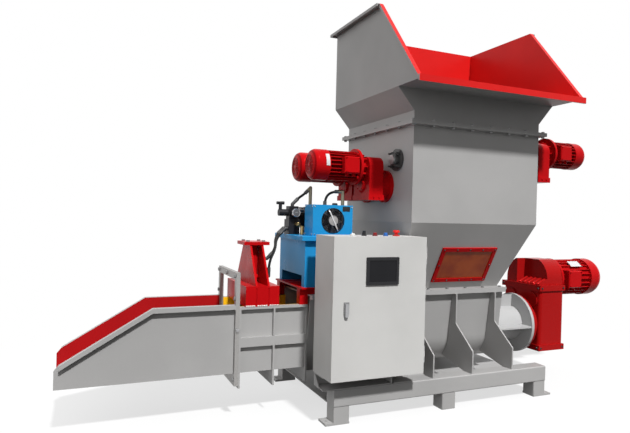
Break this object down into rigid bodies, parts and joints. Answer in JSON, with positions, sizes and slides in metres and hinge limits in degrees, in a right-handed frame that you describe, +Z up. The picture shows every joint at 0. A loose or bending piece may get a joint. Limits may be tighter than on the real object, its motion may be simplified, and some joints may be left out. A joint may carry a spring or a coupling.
{
  "type": "foam compactor",
  "caption": "Foam compactor: a feed hopper with crusher rotors over a driven screw, a hydraulic press channel, an open discharge chute and a control cabinet.",
  "frame": {"origin": "on the floor, at the centre of the rectangle of the four anchor holes in the foot plates", "axes": "+X along the screw from the chute to the main drive, +Y to the back with the control cabinet at -Y, +Z up"},
  "size_m": [3.993, 1.176, 2.542],
  "materials": {
    "grey_paint": "satin grey paint",
    "red_paint": "gloss red paint",
    "blue_paint": "gloss blue paint",
    "cabinet_paint": "fine textured pale grey paint",
    "amber_pane": "clear amber acrylic",
    "steel": "plain machined steel",
    "black_metal": "black paint",
    "chrome": "plated and polished",
    "zinc": "zinc plated",
    "yellow_plastic": "yellow wear plastic",
    "aluminium": "bare aluminium fins",
    "black_plastic": "black moulded plastic",
    "grey_plastic": "grey moulded plastic on a zinc plate",
    "white_plastic": "white lens",
    "dark_red_plastic": "dark red button",
    "blue_plastic": "blue button",
    "red_plastic": "red mushroom head",
    "dark_glass": "dark screen glass",
    "rubber": "black rubber cover"
  },
  "bodies": {
    "machine": {"base_rails": "grey_paint", "legs": "grey_paint", "screw_trough": "grey_paint", "trough_ribs": "grey_paint", "bearing_drum": "grey_paint", "lower_hopper": "grey_paint", "crusher_box": "grey_paint", "upper_hopper": "grey_paint", "press_channel": "grey_paint", "discharge_chute": "grey_paint", "cabinet_brackets": "grey_paint", "window_frame": "red_paint", "front_gear_case": "red_paint", "front_motor": "red_paint", "rear_gear_case": "red_paint", "rear_motor": "red_paint", "upper_gear_case": "red_paint", "upper_motor": "red_paint", "main_gear_case": "red_paint", "main_motor": "red_paint", "press_tower": "red_paint", "tank_stand": "red_paint", "oil_tank": "blue_paint", "tank_lid": "blue_paint", "cooler_housing": "blue_paint", "cabinet_body": "cabinet_paint", "window_pane": "amber_pane", "rotor_bearings": "black_metal", "portal_frame": "steel", "press_cylinder": "red_paint", "channel_liners": "yellow_plastic", "cooler_core": "aluminium", "fan_guard": "black_metal", "valve_stack": "black_metal", "hose_fittings": "chrome", "pump_motor": "black_metal", "press_hose_low": "rubber", "press_hose_high": "rubber", "valve_hose": "rubber", "cooler_hose": "rubber", "door_hinges": "steel", "switchgear": "grey_plastic", "device_collars": "chrome", "signal_lamp": "white_plastic", "flange_bolts": "zinc"},
    "auger": {"auger": "steel"},
    "upper_rotor": {"upper_rotor": "steel"},
    "front_rotor": {"front_rotor": "steel"},
    "rear_rotor": {"rear_rotor": "steel"},
    "press_ram": {"press_ram": "chrome"},
    "cooler_fan": {"cooler_fan": "black_plastic"},
    "cabinet_door": {"cabinet_door": "cabinet_paint", "panel_bezel": "black_plastic", "panel_glass": "dark_glass", "latch_plate": "zinc"},
    "latch_lever": {"latch_lever": "chrome"},
    "selector_knob": {"selector_knob": "black_plastic"},
    "stop_button": {"stop_button": "dark_red_plastic"},
    "start_button": {"start_button": "blue_plastic"},
    "emergency_stop": {"emergency_stop": "red_plastic"}
  },
  "joints": [
    {"name": "screw_spin", "type": "hinge", "parent": "machine", "child": "auger", "pos_m": [0, 0, 0.402], "axis": [1, 0, 0], "continuous": true},
    {"name": "upper_rotor_spin", "type": "hinge", "parent": "machine", "child": "upper_rotor", "pos_m": [0.216, -0.264, 1.554], "axis": [1, 0, 0], "continuous": true},
    {"name": "front_rotor_spin", "type": "hinge", "parent": "machine", "child": "front_rotor", "pos_m": [0.216, -0.12, 1.39], "axis": [1, 0, 0], "continuous": true},
    {"name": "rear_rotor_spin", "type": "hinge", "parent": "machine", "child": "rear_rotor", "pos_m": [0.216, 0.12, 1.39], "axis": [1, 0, 0], "continuous": true},
    {"name": "press_slide", "type": "slide", "parent": "machine", "child": "press_ram", "axis": [0, 0, -1], "range_m": [0, 0.18]},
    {"name": "fan_spin", "type": "hinge", "parent": "machine", "child": "cooler_fan", "pos_m": [-0.716, -0.22, 1.1585], "axis": [0, 1, 0], "continuous": true},
    {"name": "door_swing", "type": "hinge", "parent": "machine", "child": "cabinet_door", "pos_m": [-0.258, -0.562, 0.677], "axis": [0, 0, 1], "range_deg": [0, 110]},
    {"name": "latch_turn", "type": "hinge", "parent": "cabinet_door", "child": "latch_lever", "pos_m": [-0.784, -0.585, 0.698], "axis": [0, -1, 0], "range_deg": [0, 90]},
    {"name": "selector_turn", "type": "hinge", "parent": "machine", "child": "selector_knob", "pos_m": [-0.625, -0.47, 1.085], "axis": [0, 0, 1], "range_deg": [-45, 45]},
    {"name": "stop_press", "type": "slide", "parent": "machine", "child": "stop_button", "axis": [0, 0, -1], "range_m": [0, 0.004], "stiffness_N_per_m": 500, "springref_m": -0.002},
    {"name": "start_press", "type": "slide", "parent": "machine", "child": "start_button", "axis": [0, 0, -1], "range_m": [0, 0.004], "stiffness_N_per_m": 500, "springref_m": -0.002},
    {"name": "emergency_press", "type": "slide", "parent": "machine", "child": "emergency_stop", "axis": [0, 0, -1], "range_m": [0, 0.005]}
  ]
}
